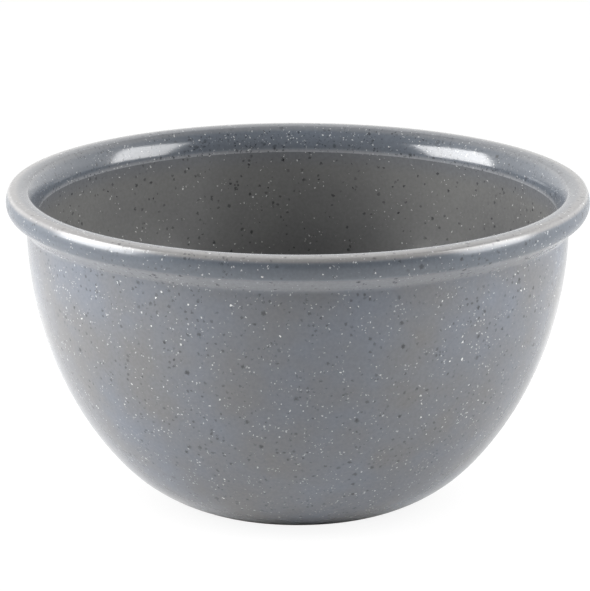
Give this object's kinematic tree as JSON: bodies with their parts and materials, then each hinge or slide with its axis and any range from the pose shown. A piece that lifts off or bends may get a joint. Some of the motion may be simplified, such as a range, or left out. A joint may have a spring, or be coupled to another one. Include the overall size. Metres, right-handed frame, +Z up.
{
  "type": "bowl",
  "caption": "Round deep bowl in speckled grey glazed stoneware, with a thick rolled rim and a narrow recessed foot, for serving food or mixing.",
  "frame": {"origin": "centre of the foot ring's contact face, on the plane the bowl stands on", "axes": "+Z up along the bowl's axis; X and Y level, with no front, because the bowl is a body of revolution"},
  "size_m": [0.16, 0.16, 0.0873],
  "materials": {
    "bare_clay": "fired stoneware clay, unglazed, dry and matte",
    "glaze_outside": "gloss slate-grey glaze with dark and white specks",
    "glaze_inside": "gloss neutral grey glaze with dark and white specks",
    "glaze_base": "gloss grey glaze with dark and white specks"
  },
  "bodies": {
    "root": {"clay_body": "bare_clay", "outside_glaze": "glaze_outside", "inside_glaze": "glaze_inside", "base_glaze": "glaze_base"}
  },
  "joints": []
}
